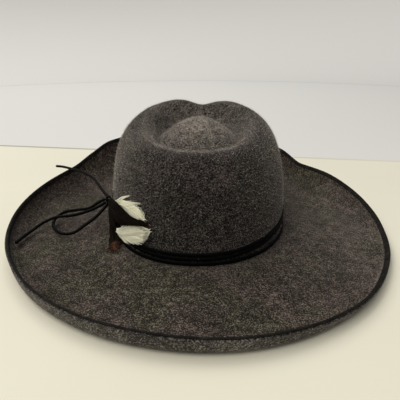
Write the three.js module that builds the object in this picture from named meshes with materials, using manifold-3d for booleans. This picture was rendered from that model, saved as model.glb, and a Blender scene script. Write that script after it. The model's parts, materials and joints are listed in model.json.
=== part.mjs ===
// Wide-brimmed wool felt hat with a lace band, a bow and a spray of feathers.
// Millimetres, +Z up. The hat rests on the plane z = 0 and the crown's axis is the Z axis.
// +Y is the front of the hat, where the crown is higher and the brim is turned up.
// -Y is its back and -X the wearer's left, where the bow and the feathers are.
import * as THREE from 'three';
import { mergeVertices } from 'three/addons/utils/BufferGeometryUtils.js';
import Module from 'manifold-3d';

const wasm = await Module();
wasm.setup();

// Driving dimensions
const FELT = 2.5; // thickness of the felt
const GAP = 0.3; // clearance between pieces that touch
const STEPS_ROUND = 52; // facets round the hat
const BREAK_HEIGHT = 9; // upper face of the brim at the foot of the crown
const BREAK_RADIUS = 1.5; // rounding between crown and brim

const CROWN = { halfWidth: 86.5, halfLength: 102.5, power: 2.12, sidePower: 2.6 };
const CREST = { halfWidth: 54.5, halfLength: 73, power: 2.22, height: 111.8, tilt: 0.17 };
const DENT = { azimuth: 86.5, spread: 15, drop: 5.5, push: 9 }; // pinch at the front of the crest
const TROUGH = { depth: 20, start: 0.68 }; // ring-shaped hollow inside the crest
const DOME = { rise: 15.5, y: 8, halfWidth: 39, halfLength: 52, narrow: 0.36, power: 2.2 };

// The brim by azimuth, in degrees from +X towards +Y.
// reach: radius of the edge, edge: its height, lean: how far the turned-up lip leans outwards,
// roll: length of the rounded turn, foot: height of the flat zone that the lip starts from.
const BRIM_COLUMNS = ['azimuth', 'reach', 'edge', 'lean', 'roll', 'foot'];
const BRIM_TABLE = [
  [0, 189, 12.5, 11, 15, 2.4],
  [17, 191, 19.3, 13, 22, 3.4],
  [32, 194, 24.5, 14, 28, 6],
  [43.5, 195.5, 26, 13, 30, 8],
  [54, 197, 41, 14, 36, 10],
  [68, 197.9, 50, 16, 42, 12],
  [90, 198.4, 55, 17, 46, 13],
  [115, 198.2, 58, 17, 46, 13],
  [128, 197.5, 54, 15, 42, 11],
  [138, 194.5, 42, 13, 36, 9],
  [147, 192.5, 31.5, 11, 30, 7],
  [160, 190.9, 26.6, 9, 24, 4.5],
  [180, 188.4, 21.6, 6, 16, 2.4],
  [197, 187.4, 18.2, 3.5, 12, 2.4],
  [213, 188, 16, 2, 9, 2.4],
  [232, 191.3, 15, 1.5, 8, 2.4],
  [255, 195.8, 15.5, 1, 7, 2.4],
  [280, 199, 13.5, 1.5, 7, 2.4],
  [305, 196.5, 10.8, 3.5, 8, 2.4],
  [328, 190, 9.5, 7, 10, 2.4],
  [347, 187.6, 10, 10, 13, 2.4],
];
const REST_WIDTH = 12; // width of the flat zone of the brim

// Edge binding: a strip on the rim of the upper face, turned down over the edge. inner is its width
// on the upper face, cover the part of the felt's thickness that it covers.
const BINDING = { thickness: 0.9, inner: 3.2, cover: 0.5, gap: 0.42 };

// Band: three turns of lace. Heights of their middles above the brim, by azimuth.
const LACE = { height: 3.6, thickness: 1.6, diameter: 3.1 };
const BAND_COLUMNS = ['azimuth', 'upper', 'middle', 'lower'];
const BAND_TABLE = [
  [0, 18.6, 14.6, 2.4],
  [90, 21.4, 17.4, 2.3],
  [145, 24.6, 20.6, 5],
  [172, 28.6, 24.6, 17],
  [192, 30, 26, 22],
  [210, 23, 19, 12.6],
  [228, 12, 8, 2.6],
  [250, 10.1, 6.2, 2.2],
  [272, 10, 6.1, 2.2],
  [284, 10.7, 6.7, 2.2],
  [300, 12.8, 8.8, 2.3],
  [320, 16, 12, 2.6],
  [340, 18, 14, 2.6],
];

// Knot of the bow: two crossing lobes, seated on the middle turn of the band. Each lobe has its
// half length along the wall, half depth, half height and tilt. seat is its distance from the wall,
// clear the way from its face to the middle of a lace's end.
const KNOT = { azimuth: 192, height: 35, seat: LACE.thickness + 0.7, clear: 1.1 };
const KNOT_LOBES = [[4.6, 2.9, 3.3, 25], [2.8, 3, 4.7, -10]];

// Free laces: the way of their middle line as x, y and z, after the knot. The first row, and the
// loop's last, is the direction in which the lace leaves the knot.
const TAIL_UPPER = [
  [-0.35, 0.85, 0.35],
  [-101, 2, 36.6],
  [-110, 20, 37.6],
  [-120.5, 40, 38],
  [-131.5, 55, 37.8],
  [-143, 68.5, 37],
  [-155, 80.5, 35.8],
  [-165, 90, 34.8],
  [-175, 97.5, 34.2],
  [-184.5, 102, 33.6],
];
const TAIL_LOWER = [
  [-0.82, -0.34, -0.48],
  [-99.4, -24.8, 30.6],
  [-110, -26, 26],
  [-122.5, -22.8, 20.8],
  [-136, -16.6, 15.9],
  [-149, -13.6, 13.3],
  [-161, -20, 9.7],
  [-167.5, -33, 7.3],
  [-170.4, -48, 7.7],
  [-169.8, -65, 10.3],
];
const LOOP = [
  [-0.97, 0.14, 0.2],
  [-103, -20, 31.6],
  [-111, -20.6, 26.6],
  [-125, -15.4, 22.4],
  [-139, -6.6, 16.8],
  [-148.5, -3.2, 11.5],
  [-152.6, -9, 8.2],
  [-149.5, -23, 7.5],
  [-141, -36, 7.9],
  [-132, -44, 9.2],
  [-121, -47.4, 12],
  [-110.5, -42.6, 18],
  [-100.4, -34.6, 24],
  [-0.15, -0.75, -0.65],
];
const TAIL_STEPS = 24;
const LOOP_STEPS = 37;

// Feathers: the middle line of each as azimuth, height above the table and distance from the
// crown's face, with the half width there and how far its face is turned from outwards to upwards.
const FEATHER_COLUMNS = ['azimuth', 'height', 'out', 'half', 'turn'];
const FEATHER_THICKNESS = 1.1;
const FEATHER_ROOT = { azimuth: 199.8, height: 33.5, half: 3.4, depth: 2, tall: 4 };
const FEATHERS = {
  whiteUpper: [
    [199, 36.5, 4.1, 1.2, 2],
    [208, 41.5, 3.9, 2.4, 3],
    [219, 48, 3.8, 5.2, 4],
    [228, 51.6, 3.7, 7.8, 5],
    [235, 51.4, 3.7, 8.8, 6],
    [240.5, 49.4, 3.7, 7.6, 6],
    [244, 46.6, 3.7, 3.2, 6],
  ],
  whiteLower: [
    [199, 31, 5, 1.2, 1],
    [208, 24.5, 4.9, 1.6, 1],
    [218, 20.8, 4.6, 3.2, 1],
    [227.5, 23.2, 4.1, 7.8, 2],
    [235, 27.8, 3.8, 9.2, 2],
    [241.5, 33, 3.7, 8.8, 3],
    [247, 37.8, 3.7, 3.4, 3],
  ],
  darkMiddle: [
    [198.5, 35, 5, 1.4, 2],
    [207, 38.6, 5.8, 5.8, 3],
    [217.5, 42.4, 6, 10.6, 3],
    [227.5, 42.6, 5.7, 9, 4],
    [236, 42.4, 5.4, 4.6, 4],
    [244, 43.4, 5.2, 2.2, 4],
    [248, 43.8, 5.1, 1, 4],
  ],
  darkHanging: [
    [198, 32.5, 5.2, 1.6, 2],
    [205, 28.5, 5.9, 5.2, 4],
    [212, 23.6, 6.4, 7.8, 8],
    [217, 18.6, 7, 7.6, 22],
    [220.5, 15, 8.4, 6, 48],
    [223.5, 12.2, 11, 4.8, 74],
    [225.5, 10.9, 14, 2.2, 88],
  ],
};

// Colours
const COLOUR = { felt: 0x4a4744, binding: 0x1c1b17, lace: 0x0f0e0d, feather: 0x1b1713 };

const degrees = THREE.MathUtils.degToRad;
const clamp = THREE.MathUtils.clamp;
const lerp = THREE.MathUtils.lerp;
const ease = (t) => clamp(t, 0, 1) ** 2 * (3 - 2 * clamp(t, 0, 1));

// A smooth value between the rows of a table that runs round the hat. It never leaves the range
// of the two rows beside it.
function roundTable(columns, table, column, azimuth) {
  const place = columns.indexOf(column);
  const count = table.length;
  const row = (i) => {
    const turns = Math.floor(i / count);
    const entry = table[i - turns * count];
    return { at: entry[0] + 360 * turns, value: entry[place] };
  };
  const rise = (from, to) => (to.value - from.value) / (to.at - from.at);
  const slope = (one, two) => (one * two > 0 ? (2 * one * two) / (one + two) : 0);
  const angle = ((azimuth % 360) + 360) % 360;
  let k = -1;
  while (row(k + 1).at <= angle) k += 1;
  const [before, from, to, after] = [row(k - 1), row(k), row(k + 1), row(k + 2)];
  const span = to.at - from.at;
  const here = rise(from, to);
  const slopeFrom = slope(rise(before, from), here) * span;
  const slopeTo = slope(here, rise(to, after)) * span;
  const t = (angle - from.at) / span;
  const start = (2 * t ** 3 - 3 * t ** 2 + 1) * from.value + (t ** 3 - 2 * t ** 2 + t) * slopeFrom;
  return start + (3 * t ** 2 - 2 * t ** 3) * to.value + (t ** 3 - t ** 2) * slopeTo;
}

// Radius of an oval with slightly squared ends
function oval(halfWidth, halfLength, power, azimuth) {
  const across = Math.abs(Math.cos(degrees(azimuth))) / halfWidth;
  const along = Math.abs(Math.sin(degrees(azimuth))) / halfLength;
  return (across ** power + along ** power) ** (-1 / power);
}

const footRadius = (azimuth) => oval(CROWN.halfWidth, CROWN.halfLength, CROWN.power, azimuth);

function dent(azimuth) {
  const away = ((((azimuth - DENT.azimuth + 180) % 360) + 360) % 360) - 180;
  return Math.exp(-((away / DENT.spread) ** 2));
}

// The crest is the ring-shaped ridge round the top of the crown
function crest(azimuth) {
  const ring = oval(CREST.halfWidth, CREST.halfLength, CREST.power, azimuth);
  const radius = ring - DENT.push * dent(azimuth);
  const lift = CREST.tilt * radius * Math.sin(degrees(azimuth));
  return { radius, height: CREST.height + lift - DENT.drop * dent(azimuth) };
}

// Upper face inside the crest: the inner wall falls into the trough, and the dome rises from it.
// part runs from 0 at the axis to 1 on the crest.
function crownTop(azimuth, part) {
  const radius = crest(azimuth).radius * part;
  const x = radius * Math.cos(degrees(azimuth));
  const y = radius * Math.sin(degrees(azimuth));
  const sunk = DENT.drop * dent(azimuth) * ease((part - 0.6) / 0.4);
  const floor = CREST.height + CREST.tilt * y - sunk - TROUGH.depth;
  const t = clamp((part - TROUGH.start) / (1 - TROUGH.start), 0, 1);
  const wall = TROUGH.depth * (4.47 * t ** 2 - 4.94 * t ** 3 + 1.47 * t ** 4);
  const v = (y - DOME.y) / DOME.halfLength;
  const u = x / (DOME.halfWidth * (1 - DOME.narrow * v));
  const bump = Math.max(DOME.rise * (1 - Math.hypot(u, v) ** DOME.power), -6);
  const blend = clamp(0.5 + (wall - bump) / 6, 0, 1);
  return { radius, height: floor + lerp(bump, wall, blend) + 1.5 * blend * (1 - blend) };
}

// Side of the crown, from the crest at part 0 down to its foot at part 1
function crownSide(azimuth, part) {
  const top = crest(azimuth);
  const foot = BREAK_HEIGHT + BREAK_RADIUS;
  const out = Math.sin((part * Math.PI) / 2) ** (2 / CROWN.sidePower);
  const up = Math.max(Math.cos((part * Math.PI) / 2), 0) ** (2 / CROWN.sidePower);
  return {
    radius: lerp(top.radius, footRadius(azimuth), out),
    height: lerp(foot, top.height, up),
  };
}

function sideRadius(azimuth, height) {
  const top = crest(azimuth);
  const foot = BREAK_HEIGHT + BREAK_RADIUS;
  const up = clamp((height - foot) / (top.height - foot), 0, 1);
  const out = (1 - up ** CROWN.sidePower) ** (1 / CROWN.sidePower);
  return lerp(top.radius, footRadius(azimuth), out);
}

function breakRound(azimuth, part) {
  const turn = (part * Math.PI) / 2;
  return {
    radius: footRadius(azimuth) + BREAK_RADIUS * (1 - Math.cos(turn)),
    height: BREAK_HEIGHT + BREAK_RADIUS * (1 - Math.sin(turn)),
  };
}

// The corner points that the brim's section is drawn through
function brimFrame(azimuth) {
  const value = (column) => roundTable(BRIM_COLUMNS, BRIM_TABLE, column, azimuth);
  const foot = value('foot');
  const edge = new THREE.Vector2(value('reach'), value('edge'));
  const corner = new THREE.Vector2(value('reach') - value('lean'), foot);
  const turnStart = new THREE.Vector2(corner.x - value('roll'), foot);
  const lipLength = corner.distanceTo(edge);
  const used = clamp(value('roll'), 2, lipLength - BINDING.inner - 0.5);
  const turnEnd = corner.clone().lerp(edge, used / lipLength);
  return { foot, edge, corner, turnStart, turnEnd };
}

function brimSlope(azimuth, part) {
  const inner = footRadius(azimuth) + BREAK_RADIUS;
  const { foot, turnStart } = brimFrame(azimuth);
  return {
    radius: lerp(inner, turnStart.x - REST_WIDTH, part),
    height: lerp(BREAK_HEIGHT, foot, ease(part)),
  };
}

function brimTurn(azimuth, part) {
  const { corner, turnStart, turnEnd } = brimFrame(azimuth);
  const point = turnStart.clone().multiplyScalar((1 - part) ** 2);
  point.addScaledVector(corner, 2 * part * (1 - part)).addScaledVector(turnEnd, part ** 2);
  return { radius: point.x, height: point.y };
}

function brimLip(azimuth, part) {
  const { edge, turnEnd } = brimFrame(azimuth);
  const point = turnEnd.clone().lerp(edge, part);
  return { radius: point.x, height: point.y };
}

// The felt's upper face as rows of one section: [function, number of steps]
const FELT_ROWS = [
  [crownTop, 10],
  [crownSide, 8],
  [breakRound, 1],
  [brimSlope, 3],
  [(azimuth) => {
    const { turnStart } = brimFrame(azimuth);
    return { radius: turnStart.x, height: turnStart.y };
  }, 1],
  [brimTurn, 4],
  [brimLip, 2],
];

const azimuths = Array.from({ length: STEPS_ROUND }, (_, i) => (360 / STEPS_ROUND) * i);

function place(azimuth, { radius, height }) {
  const angle = degrees(azimuth);
  return new THREE.Vector3(radius * Math.cos(angle), radius * Math.sin(angle), height);
}

// A closed body from rings of points: each ring closes on itself, and the row of rings either
// closes too or ends in a point at both ends.
function loft(rings, poles = null) {
  const count = rings[0].length;
  const points = rings.flat();
  const index = [];
  const at = (ring, i) => (ring % rings.length) * count + (i % count);
  const last = poles ? rings.length - 1 : rings.length;
  for (let ring = 0; ring < last; ring += 1) {
    for (let i = 0; i < count; i += 1) {
      const [a, b, c, d] = [at(ring, i), at(ring, i + 1), at(ring + 1, i + 1), at(ring + 1, i)];
      index.push(a, d, b, b, d, c);
    }
  }
  if (poles) {
    const start = points.length;
    points.push(...poles);
    for (let i = 0; i < count; i += 1) {
      index.push(start, at(0, i), at(0, i + 1));
      index.push(start + 1, at(rings.length - 1, i + 1), at(rings.length - 1, i));
    }
  }
  const geometry = new THREE.BufferGeometry().setFromPoints(points);
  geometry.setIndex(index);
  return geometry;
}

function bareGeometry(geometry) {
  const bare = geometry.clone();
  bare.deleteAttribute('normal');
  bare.deleteAttribute('uv');
  return mergeVertices(bare, 1e-4);
}

function toSolid(geometry) {
  const bare = bareGeometry(geometry);
  const mesh = new wasm.Mesh({
    numProp: 3,
    vertProperties: new Float32Array(bare.attributes.position.array),
    triVerts: new Uint32Array(bare.index.array),
  });
  return new wasm.Manifold(mesh);
}

function toGeometry(solid) {
  const { vertProperties, triVerts } = solid.getMesh();
  const geometry = new THREE.BufferGeometry();
  geometry.setAttribute('position', new THREE.BufferAttribute(new Float32Array(vertProperties), 3));
  geometry.setIndex(new THREE.BufferAttribute(new Uint32Array(triVerts), 1));
  return geometry;
}

const hat = new THREE.Group();

function addPiece(name, geometry, color, roughness) {
  const finished = geometry.index ? geometry.toNonIndexed() : geometry;
  finished.computeVertexNormals();
  const material = new THREE.MeshStandardMaterial({ color, roughness, metalness: 0 });
  const piece = new THREE.Mesh(finished, material);
  piece.name = name;
  hat.add(piece);
  return piece;
}

// Felt body: the upper face, and the same face moved inwards by the felt's thickness
function feltFaces() {
  const outer = [];
  for (const [section, steps] of FELT_ROWS) {
    for (let step = 1; step <= steps; step += 1) {
      outer.push(azimuths.map((azimuth) => place(azimuth, section(azimuth, step / steps))));
    }
  }
  const middle = place(0, crownTop(0, 0));
  const sheet = loft(outer, [middle, new THREE.Vector3()]);
  // only the upper face counts for the normals, so the closing fan is left out
  const faces = Array.from(sheet.index.array).slice(0);
  const closing = outer.length * STEPS_ROUND + 1;
  const open = [];
  for (let i = 0; i < faces.length; i += 3) {
    const triangle = faces.slice(i, i + 3);
    if (!triangle.includes(closing)) open.push(...triangle);
  }
  sheet.setIndex(open);
  sheet.computeVertexNormals();
  const normals = sheet.attributes.normal;
  const moved = (point, k) => {
    const normal = new THREE.Vector3().fromBufferAttribute(normals, k);
    const inner = point.clone().addScaledVector(normal, -FELT);
    inner.z = Math.max(inner.z, 0);
    return inner;
  };
  const inner = outer.map((ring, r) => ring.map((point, i) => moved(point, r * STEPS_ROUND + i)));
  const middleInner = moved(middle, outer.length * STEPS_ROUND);
  return { outer, inner, middle, middleInner };
}

const felt = feltFaces();
const feltRings = [...felt.outer, ...[...felt.inner].reverse()];
addPiece('felt_body', loft(feltRings, [felt.middle, felt.middleInner]), COLOUR.felt, 0.95);

// Binding: an L-shaped section carried round the edge
function bindingSections() {
  const last = felt.outer.length - 1;
  const { gap } = BINDING;
  const over = gap + BINDING.thickness;
  const cut = 0.35 * BINDING.thickness;
  return azimuths.map((_, i) => {
    const edge = felt.outer[last][i];
    const along = edge.clone().sub(felt.outer[last - 1][i]).normalize();
    const inward = edge.clone().sub(felt.inner[last][i]);
    const thickness = inward.length();
    inward.normalize();
    const section = [
      [gap, gap],
      [gap, -BINDING.cover * thickness],
      [over, -BINDING.cover * thickness],
      [over, over - cut],
      [over - cut, over],
      [-BINDING.inner, over],
      [-BINDING.inner, gap],
    ];
    return section.map(([a, b]) => edge.clone().addScaledVector(along, a).addScaledVector(inward, b));
  });
}

addPiece('brim_binding', loft(bindingSections()), COLOUR.binding, 0.8);

// Band laces: a flat section with cut corners, standing against the crown
function bandSections(column) {
  const halfHeight = LACE.height / 2;
  const inner = GAP;
  const outer = GAP + LACE.thickness;
  const cut = 0.45;
  const section = [
    [inner, -halfHeight + cut],
    [inner + cut, -halfHeight],
    [outer - cut, -halfHeight],
    [outer, -halfHeight + cut],
    [outer, halfHeight - cut],
    [outer - cut, halfHeight],
    [inner + cut, halfHeight],
    [inner, halfHeight - cut],
  ];
  return azimuths.map((azimuth) => {
    const height = BREAK_HEIGHT + roundTable(BAND_COLUMNS, BAND_TABLE, column, azimuth);
    const wall = Math.max(sideRadius(azimuth, height), footRadius(azimuth)
      + BREAK_RADIUS * ease((BREAK_HEIGHT + 3.4 - height) / 2));
    return section.map(([out, up]) => place(azimuth, { radius: wall + out, height: height + up }));
  });
}

for (const turn of ['upper', 'middle', 'lower']) {
  addPiece(`band_lace_${turn}`, loft(bandSections(turn)), COLOUR.lace, 0.6);
}

// Direction, in degrees, that the crown's wall faces at a height
function wallFacing(azimuth, height) {
  const beside = (angle) => place(angle, { radius: sideRadius(angle, height), height });
  const run = beside(azimuth + 1).sub(beside(azimuth - 1));
  return THREE.MathUtils.radToDeg(Math.atan2(-run.x, run.y));
}

// Knot
const knotWall = place(KNOT.azimuth, {
  radius: sideRadius(KNOT.azimuth, KNOT.height),
  height: KNOT.height,
});
const knotDepth = Math.max(...KNOT_LOBES.map(([, depth]) => depth));
const knotFacing = wallFacing(KNOT.azimuth, KNOT.height);
const knotCentre = knotWall.clone().add(
  place(knotFacing, { radius: KNOT.seat + knotDepth, height: 0 }),
);
const knotFrame = new THREE.Matrix4().makeRotationZ(degrees(knotFacing - 90));

function knotLobe([halfLength, halfDepth, halfHeight, tilt]) {
  const lobe = new THREE.SphereGeometry(1, 10, 7);
  lobe.rotateX(Math.PI / 2);
  lobe.scale(halfLength, halfDepth, halfHeight);
  lobe.rotateY(degrees(tilt));
  lobe.applyMatrix4(knotFrame);
  lobe.translate(...knotCentre);
  return toSolid(lobe);
}

const knot = KNOT_LOBES.map(knotLobe).reduce((whole, lobe) => whole.add(lobe));
addPiece('bow_knot', toGeometry(knot), COLOUR.lace, 0.6);

// Distance from the knot's centre to its face in one direction
function knotReach(direction) {
  const back = knotFrame.clone().invert();
  const reaches = KNOT_LOBES.map(([halfLength, halfDepth, halfHeight, tilt]) => {
    const local = direction.clone().applyMatrix4(back);
    local.applyAxisAngle(new THREE.Vector3(0, 1, 0), -degrees(tilt));
    return 1 / Math.hypot(local.x / halfLength, local.y / halfDepth, local.z / halfHeight);
  });
  return Math.max(...reaches);
}

// Middle of a lace's end, just clear of the knot's face
function atKnot(leave) {
  const direction = new THREE.Vector3(...leave).normalize();
  return knotCentre.clone().addScaledVector(direction, knotReach(direction) + KNOT.clear);
}

// Free laces: round tubes along their routes
function lace(name, rows, steps, endsAtKnot = false) {
  const points = rows.map((row) => new THREE.Vector3(...row));
  points[0] = atKnot(rows[0]);
  if (endsAtKnot) points[rows.length - 1] = atKnot(rows.at(-1));
  const path = new THREE.CatmullRomCurve3(points, false, 'centripetal');
  const section = new THREE.Shape();
  section.absarc(0, 0, LACE.diameter / 2, 0, 2 * Math.PI);
  const options = { steps, curveSegments: 4, bevelEnabled: false, extrudePath: path };
  addPiece(name, new THREE.ExtrudeGeometry(section, options), COLOUR.lace, 0.6);
}

lace('lace_tail_upper', TAIL_UPPER, TAIL_STEPS);
lace('lace_tail_lower', TAIL_LOWER, TAIL_STEPS);
lace('bow_loop', LOOP, LOOP_STEPS, true);

// Feathers: thin bent leaves on the crown's face, fused to the root under the knot
function feather(rows) {
  const spot = ([azimuth, height, out]) =>
    place(azimuth, { radius: sideRadius(azimuth, height) + out, height });
  const spine = rows.map(spot);
  const rings = spine.map((point, i) => {
    const before = spine[Math.max(i - 1, 0)];
    const after = spine[Math.min(i + 1, spine.length - 1)];
    const along = after.clone().sub(before).normalize();
    const turn = degrees(rows[i][FEATHER_COLUMNS.indexOf('turn')]);
    const away = new THREE.Vector3(point.x, point.y, 0).setLength(Math.cos(turn));
    away.z = Math.sin(turn);
    const across = along.clone().cross(away).normalize();
    const face = across.clone().cross(along).normalize();
    const half = rows[i][FEATHER_COLUMNS.indexOf('half')];
    const thick = FEATHER_THICKNESS / 2;
    const section = [[-half, -0.4], [0, -thick], [half, -0.4], [half, 0.2], [0, thick], [-half, 0.2]];
    return section.map(([side, up]) =>
      point.clone().addScaledVector(across, side).addScaledVector(face, up));
  });
  const middle = (ring) => ring.reduce((sum, p) => sum.add(p), new THREE.Vector3())
    .divideScalar(ring.length);
  return toSolid(loft(rings, [middle(rings[0]), middle(rings.at(-1))]));
}

function featherRoot() {
  const { azimuth, height, half, depth, tall } = FEATHER_ROOT;
  const root = new THREE.SphereGeometry(1, 8, 6);
  root.rotateX(Math.PI / 2);
  root.scale(half, depth, tall);
  root.rotateZ(degrees(wallFacing(azimuth, height) - 90));
  const out = KNOT.seat + depth + 0.2;
  root.translate(...place(azimuth, { radius: sideRadius(azimuth, height) + out, height }));
  return toSolid(root);
}

const spray = Object.values(FEATHERS).map(feather).reduce((whole, one) => whole.add(one), featherRoot());
addPiece('feather_spray', toGeometry(spray), COLOUR.feather, 0.7);

export default hat;
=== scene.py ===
"""Wide-brimmed wool felt hat with a lace band, a bow and a spray of feathers.

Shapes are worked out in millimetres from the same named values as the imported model, and put in
place in metres. +Z is up, +Y the front of the hat, -X the wearer's left.
"""
import json
import math
import random

import bmesh
import bpy
from mathutils import Matrix, Vector, noise

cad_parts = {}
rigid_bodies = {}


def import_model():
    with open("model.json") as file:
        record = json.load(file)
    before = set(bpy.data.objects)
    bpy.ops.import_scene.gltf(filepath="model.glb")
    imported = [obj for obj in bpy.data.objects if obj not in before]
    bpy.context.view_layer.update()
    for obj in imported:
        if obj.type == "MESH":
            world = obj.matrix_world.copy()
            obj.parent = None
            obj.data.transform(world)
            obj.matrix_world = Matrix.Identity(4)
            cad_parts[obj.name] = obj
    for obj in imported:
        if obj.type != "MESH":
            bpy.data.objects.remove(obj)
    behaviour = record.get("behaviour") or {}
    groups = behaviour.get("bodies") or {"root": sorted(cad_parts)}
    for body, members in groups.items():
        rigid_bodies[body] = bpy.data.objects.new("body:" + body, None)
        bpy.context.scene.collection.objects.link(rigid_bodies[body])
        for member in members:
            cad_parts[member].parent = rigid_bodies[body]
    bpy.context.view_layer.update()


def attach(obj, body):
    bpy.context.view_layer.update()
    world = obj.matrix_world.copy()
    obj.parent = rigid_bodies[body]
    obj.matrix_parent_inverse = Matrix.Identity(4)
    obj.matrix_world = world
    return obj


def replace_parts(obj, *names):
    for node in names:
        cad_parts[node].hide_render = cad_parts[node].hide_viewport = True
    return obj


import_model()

MM = 0.001
MERGE = 0.02  # points closer than this are one point

# --- driving dimensions, in millimetres and degrees ---
FELT = 2.5
GAP = 0.3
BREAK_HEIGHT = 9
BREAK_RADIUS = 1.5
CROWN = {"half_width": 86.5, "half_length": 102.5, "power": 2.12, "side_power": 2.6}
CREST = {"half_width": 54.5, "half_length": 73, "power": 2.22, "height": 111.8, "tilt": 0.17}
DENT = {"azimuth": 86.5, "spread": 15, "drop": 5.5, "push": 9, "inner": 0.6}
TROUGH = {"depth": 20, "start": 0.68, "rise": (4.47, -4.94, 1.47)}
VALLEY = {"width": 6, "lift": 1.5, "lowest": -6}  # between the dome and the trough's wall
DOME = {"rise": 15.5, "y": 8, "half_width": 39, "half_length": 52, "narrow": 0.36, "power": 2.2}

# The brim by azimuth: reach and height of its edge, how far the lip leans outwards, length of
# the rounded turn, and height of the flat zone that the lip starts from
BRIM_COLUMNS = ["azimuth", "reach", "edge", "lean", "roll", "foot"]
BRIM_TABLE = [
    [0, 189, 12.5, 11, 15, 2.4],
    [17, 191, 19.3, 13, 22, 3.4],
    [32, 194, 24.5, 14, 28, 6],
    [43.5, 195.5, 26, 13, 30, 8],
    [54, 197, 41, 14, 36, 10],
    [68, 197.9, 50, 16, 42, 12],
    [90, 198.4, 55, 17, 46, 13],
    [115, 198.2, 58, 17, 46, 13],
    [128, 197.5, 54, 15, 42, 11],
    [138, 194.5, 42, 13, 36, 9],
    [147, 192.5, 31.5, 11, 30, 7],
    [160, 190.9, 26.6, 9, 24, 4.5],
    [180, 188.4, 21.6, 6, 16, 2.4],
    [197, 187.4, 18.2, 3.5, 12, 2.4],
    [213, 188, 16, 2, 9, 2.4],
    [232, 191.3, 15, 1.5, 8, 2.4],
    [255, 195.8, 15.5, 1, 7, 2.4],
    [280, 199, 13.5, 1.5, 7, 2.4],
    [305, 196.5, 10.8, 3.5, 8, 2.4],
    [328, 190, 9.5, 7, 10, 2.4],
    [347, 187.6, 10, 10, 13, 2.4],
]
REST_WIDTH = 12
LEAST_ROLL = 2
STRAIGHT_LIP = 6

# Middles of the three turns of lace above the brim
LACE = {"height": 3.6, "thickness": 1.6, "diameter": 3.1}
BAND_COLUMNS = ["azimuth", "upper", "middle", "lower"]
BAND_TABLE = [
    [0, 18.6, 14.6, 2.4],
    [90, 21.4, 17.4, 2.3],
    [145, 24.6, 20.6, 5],
    [172, 28.6, 24.6, 17],
    [192, 30, 26, 22],
    [210, 23, 19, 12.6],
    [228, 12, 8, 2.6],
    [250, 10.1, 6.2, 2.2],
    [272, 10, 6.1, 2.2],
    [284, 10.7, 6.7, 2.2],
    [300, 12.8, 8.8, 2.3],
    [320, 16, 12, 2.6],
    [340, 18, 14, 2.6],
]
KNOT = {"azimuth": 192, "height": 35, "out": 5.3}

# Free laces: middle lines as x, y and z
TAIL_UPPER = [
    (-92.1, -14.6, 36.7),
    (-101, 2, 36.6),
    (-110, 20, 37.6),
    (-120.5, 40, 38),
    (-131.5, 55, 37.8),
    (-143, 68.5, 37),
    (-155, 80.5, 35.8),
    (-165, 90, 34.8),
    (-175, 97.5, 34.2),
    (-184.5, 102, 33.6),
]
TAIL_LOWER = [
    (-93.9, -20.2, 33),
    (-99.4, -24.8, 30.6),
    (-110, -26, 26),
    (-122.5, -22.8, 20.8),
    (-136, -16.6, 15.9),
    (-149, -13.6, 13.3),
    (-161, -20, 9.7),
    (-167.5, -33, 7.3),
    (-170.4, -48, 7.7),
    (-169.8, -65, 10.3),
]
LOOP = [
    (-94.4, -18.2, 35.8),
    (-103, -20, 31.6),
    (-111, -20.6, 26.6),
    (-125, -15.4, 22.4),
    (-139, -6.6, 16.8),
    (-148.5, -3.2, 11.5),
    (-152.6, -9, 8.2),
    (-149.5, -23, 7.5),
    (-141, -36, 7.9),
    (-132, -44, 9.2),
    (-121, -47.4, 12),
    (-110.5, -42.6, 18),
    (-100.4, -34.6, 24),
    (-91.1, -22.1, 32.1),
]

# Feathers: the middle line as azimuth, height above the table and distance from the crown's
# face, half width there, and how far the face is turned from outwards to upwards
WHITE_UPPER = [
    (199, 36.5, 4.1, 1.2, 2),
    (208, 41.5, 3.9, 2.4, 3),
    (219, 48, 3.8, 5.2, 4),
    (228, 51.6, 3.7, 7.8, 5),
    (235, 51.4, 3.7, 8.8, 6),
    (240.5, 49.4, 3.7, 7.6, 6),
    (244, 46.6, 3.7, 3.2, 6),
]
WHITE_LOWER = [
    (199, 31, 5, 1.2, 1),
    (208, 24.5, 4.9, 1.6, 1),
    (218, 20.8, 4.6, 3.2, 1),
    (227.5, 23.2, 4.1, 7.8, 2),
    (235, 27.8, 3.8, 9.2, 2),
    (241.5, 33, 3.7, 8.8, 3),
    (247, 37.8, 3.7, 3.4, 3),
]
DARK_MIDDLE = [
    (198.5, 35, 5, 1.4, 2),
    (207, 38.6, 5.8, 5.8, 3),
    (217.5, 42.4, 6, 10.6, 3),
    (227.5, 42.6, 5.7, 9, 4),
    (236, 42.4, 5.4, 4.6, 4),
    (244, 43.4, 5.2, 2.2, 4),
    (248, 43.8, 5.1, 1, 4),
]
DARK_HANGING = [
    (198, 32.5, 5.2, 1.6, 2),
    (205, 28.5, 5.9, 5.2, 4),
    (212, 23.6, 6.4, 7.8, 8),
    (217, 18.6, 7, 7.6, 22),
    (220.5, 15, 8.4, 6, 48),
    (223.5, 12.2, 11, 4.8, 74),
    (225.5, 10.9, 14, 2.2, 88),
]


# --- small helpers ---
UP = Vector((0, 0, 1))


def clamp(value, low=0.0, high=1.0):
    return min(max(value, low), high)


def lerp(a, b, t):
    return a + (b - a) * t


def ease(t):
    t = clamp(t)
    return t * t * (3 - 2 * t)


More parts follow.
